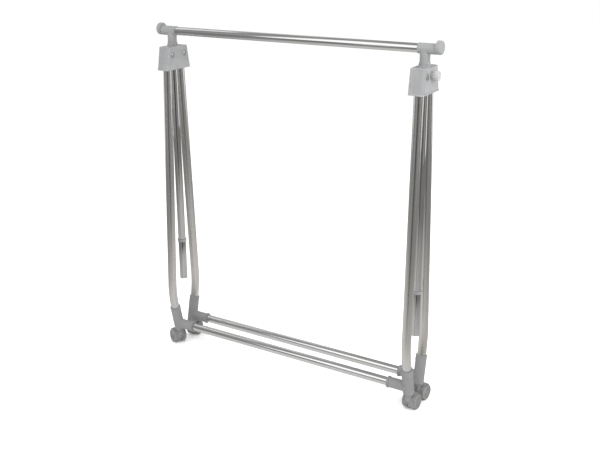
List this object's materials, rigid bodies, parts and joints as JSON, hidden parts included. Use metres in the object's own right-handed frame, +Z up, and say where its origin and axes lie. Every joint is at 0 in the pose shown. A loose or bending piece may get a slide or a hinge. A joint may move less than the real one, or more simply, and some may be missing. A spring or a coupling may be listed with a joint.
{
  "type": "folding clothes rail",
  "caption": "Free-standing chrome clothes rail on castors, with two folding leg frames hinged in grey housings and a hanging rail that telescopes up.",
  "frame": {"origin": "on the floor, under the middle of the hanging rail", "axes": "+X along the hanging rail towards the right end, +Y from the front frame to the rear frame, +Z up"},
  "size_m": [0.87, 0.1416, 0.989],
  "materials": {
    "chrome_tube": "bright chrome plate",
    "chrome_post": "bright chrome plate",
    "grey_moulding": "fine matt moulded grey",
    "grey_knob": "fine matt moulded grey",
    "castor_grey": "semi-matt moulded grey",
    "wheel_grey": "matt grey tread",
    "plug_black": "moulded black",
    "steel": "zinc plated"
  },
  "bodies": {
    "housings": {"hinge_housing_left": "grey_moulding", "housing_cover_left": "grey_moulding", "pivot_pins_left": "steel", "post_collar_left": "grey_moulding", "clamp_nut_left": "steel", "hinge_housing_right": "grey_moulding", "housing_cover_right": "grey_moulding", "pivot_pins_right": "steel", "post_collar_right": "grey_moulding", "clamp_nut_right": "steel"},
    "knob_left": {"lock_knob_left": "grey_knob", "lock_screw_left": "steel"},
    "knob_right": {"lock_knob_right": "grey_knob", "lock_screw_right": "steel"},
    "rail_assembly": {"hanging_rail": "chrome_tube", "tee_screws": "steel", "rail_tee_left": "grey_moulding", "rail_cap_left": "grey_moulding", "post_left": "chrome_post", "post_tail_left": "chrome_post", "stop_ring_left": "grey_moulding", "rail_tee_right": "grey_moulding", "rail_cap_right": "grey_moulding", "post_right": "chrome_post", "post_tail_right": "chrome_post", "stop_ring_right": "grey_moulding"},
    "front_frame": {"bottom_rail_front": "chrome_tube", "foot_screws_front": "steel", "castor_stems_front": "steel", "leg_front_left": "chrome_tube", "leg_plug_front_left": "plug_black", "foot_front_left": "grey_moulding", "leg_front_right": "chrome_tube", "leg_plug_front_right": "plug_black", "foot_front_right": "grey_moulding"},
    "rear_frame": {"bottom_rail_rear": "chrome_tube", "foot_screws_rear": "steel", "castor_stems_rear": "steel", "leg_rear_left": "chrome_tube", "leg_plug_rear_left": "plug_black", "foot_rear_left": "grey_moulding", "leg_rear_right": "chrome_tube", "leg_plug_rear_right": "plug_black", "foot_rear_right": "grey_moulding"},
    "castor_front_left": {"castor_hood_front_left": "castor_grey", "castor_axle_front_left": "steel"},
    "wheel_a_front_left": {"castor_wheel_a_front_left": "wheel_grey"},
    "wheel_b_front_left": {"castor_wheel_b_front_left": "wheel_grey"},
    "castor_front_right": {"castor_hood_front_right": "castor_grey", "castor_axle_front_right": "steel"},
    "wheel_a_front_right": {"castor_wheel_a_front_right": "wheel_grey"},
    "wheel_b_front_right": {"castor_wheel_b_front_right": "wheel_grey"},
    "castor_rear_left": {"castor_hood_rear_left": "castor_grey", "castor_axle_rear_left": "steel"},
    "wheel_a_rear_left": {"castor_wheel_a_rear_left": "wheel_grey"},
    "wheel_b_rear_left": {"castor_wheel_b_rear_left": "wheel_grey"},
    "castor_rear_right": {"castor_hood_rear_right": "castor_grey", "castor_axle_rear_right": "steel"},
    "wheel_a_rear_right": {"castor_wheel_a_rear_right": "wheel_grey"},
    "wheel_b_rear_right": {"castor_wheel_b_rear_right": "wheel_grey"}
  },
  "joints": [
    {"name": "rail_height", "type": "slide", "parent": "housings", "child": "rail_assembly", "axis": [0, 0, 1], "range_m": [0, 0.52]},
    {"name": "front_frame_fold", "type": "hinge", "parent": "housings", "child": "front_frame", "pos_m": [0, -0.0266, 0.903], "axis": [-1, 0, 0], "range_deg": [0, 10.5]},
    {"name": "rear_frame_fold", "type": "hinge", "parent": "housings", "child": "rear_frame", "pos_m": [0, 0.0266, 0.903], "axis": [1, 0, 0], "range_deg": [0, 10.5]},
    {"name": "lock_knob_turn_left", "type": "hinge", "parent": "housings", "child": "knob_left", "pos_m": [-0.41, 0, 0.904], "axis": [-1, 0, 0], "range_deg": [0, 360]},
    {"name": "lock_knob_turn_right", "type": "hinge", "parent": "housings", "child": "knob_right", "pos_m": [0.41, 0, 0.904], "axis": [1, 0, 0], "range_deg": [0, 360]},
    {"name": "swivel_front_left", "type": "hinge", "parent": "front_frame", "child": "castor_front_left", "pos_m": [-0.39, -0.02986, 0.0453], "axis": [0, 0, 1], "continuous": true},
    {"name": "roll_a_front_left", "type": "hinge", "parent": "castor_front_left", "child": "wheel_a_front_left", "pos_m": [-0.40586, -0.02246, 0.0215], "axis": [-0.4226, -0.9063, 0], "continuous": true},
    {"name": "roll_b_front_left", "type": "hinge", "parent": "castor_front_left", "child": "wheel_b_front_left", "pos_m": [-0.40586, -0.02246, 0.0215], "axis": [-0.4226, -0.9063, 0], "continuous": true},
    {"name": "swivel_front_right", "type": "hinge", "parent": "front_frame", "child": "castor_front_right", "pos_m": [0.39, -0.02986, 0.0453], "axis": [0, 0, 1], "continuous": true},
    {"name": "roll_a_front_right", "type": "hinge", "parent": "castor_front_right", "child": "wheel_a_front_right", "pos_m": [0.39153, -0.01242, 0.0215], "axis": [-0.9962, 0.0872, 0], "continuous": true},
    {"name": "roll_b_front_right", "type": "hinge", "parent": "castor_front_right", "child": "wheel_b_front_right", "pos_m": [0.39153, -0.01242, 0.0215], "axis": [-0.9962, 0.0872, 0], "continuous": true},
    {"name": "swivel_rear_left", "type": "hinge", "parent": "rear_frame", "child": "castor_rear_left", "pos_m": [-0.39, 0.02986, 0.0453], "axis": [0, 0, 1], "range_deg": [-40, 40]},
    {"name": "roll_a_rear_left", "type": "hinge", "parent": "castor_rear_left", "child": "wheel_a_rear_left", "pos_m": [-0.39304, 0.04709, 0.0215], "axis": [-0.9848, -0.1736, 0], "continuous": true},
    {"name": "roll_b_rear_left", "type": "hinge", "parent": "castor_rear_left", "child": "wheel_b_rear_left", "pos_m": [-0.39304, 0.04709, 0.0215], "axis": [-0.9848, -0.1736, 0], "continuous": true},
    {"name": "swivel_rear_right", "type": "hinge", "parent": "rear_frame", "child": "castor_rear_right", "pos_m": [0.39, 0.02986, 0.0453], "axis": [0, 0, 1], "range_deg": [-40, 40]},
    {"name": "roll_a_rear_right", "type": "hinge", "parent": "castor_rear_right", "child": "wheel_a_rear_right", "pos_m": [0.39244, 0.04719, 0.0215], "axis": [-0.9903, 0.1392, 0], "continuous": true},
    {"name": "roll_b_rear_right", "type": "hinge", "parent": "castor_rear_right", "child": "wheel_b_rear_right", "pos_m": [0.39244, 0.04719, 0.0215], "axis": [-0.9903, 0.1392, 0], "continuous": true}
  ]
}
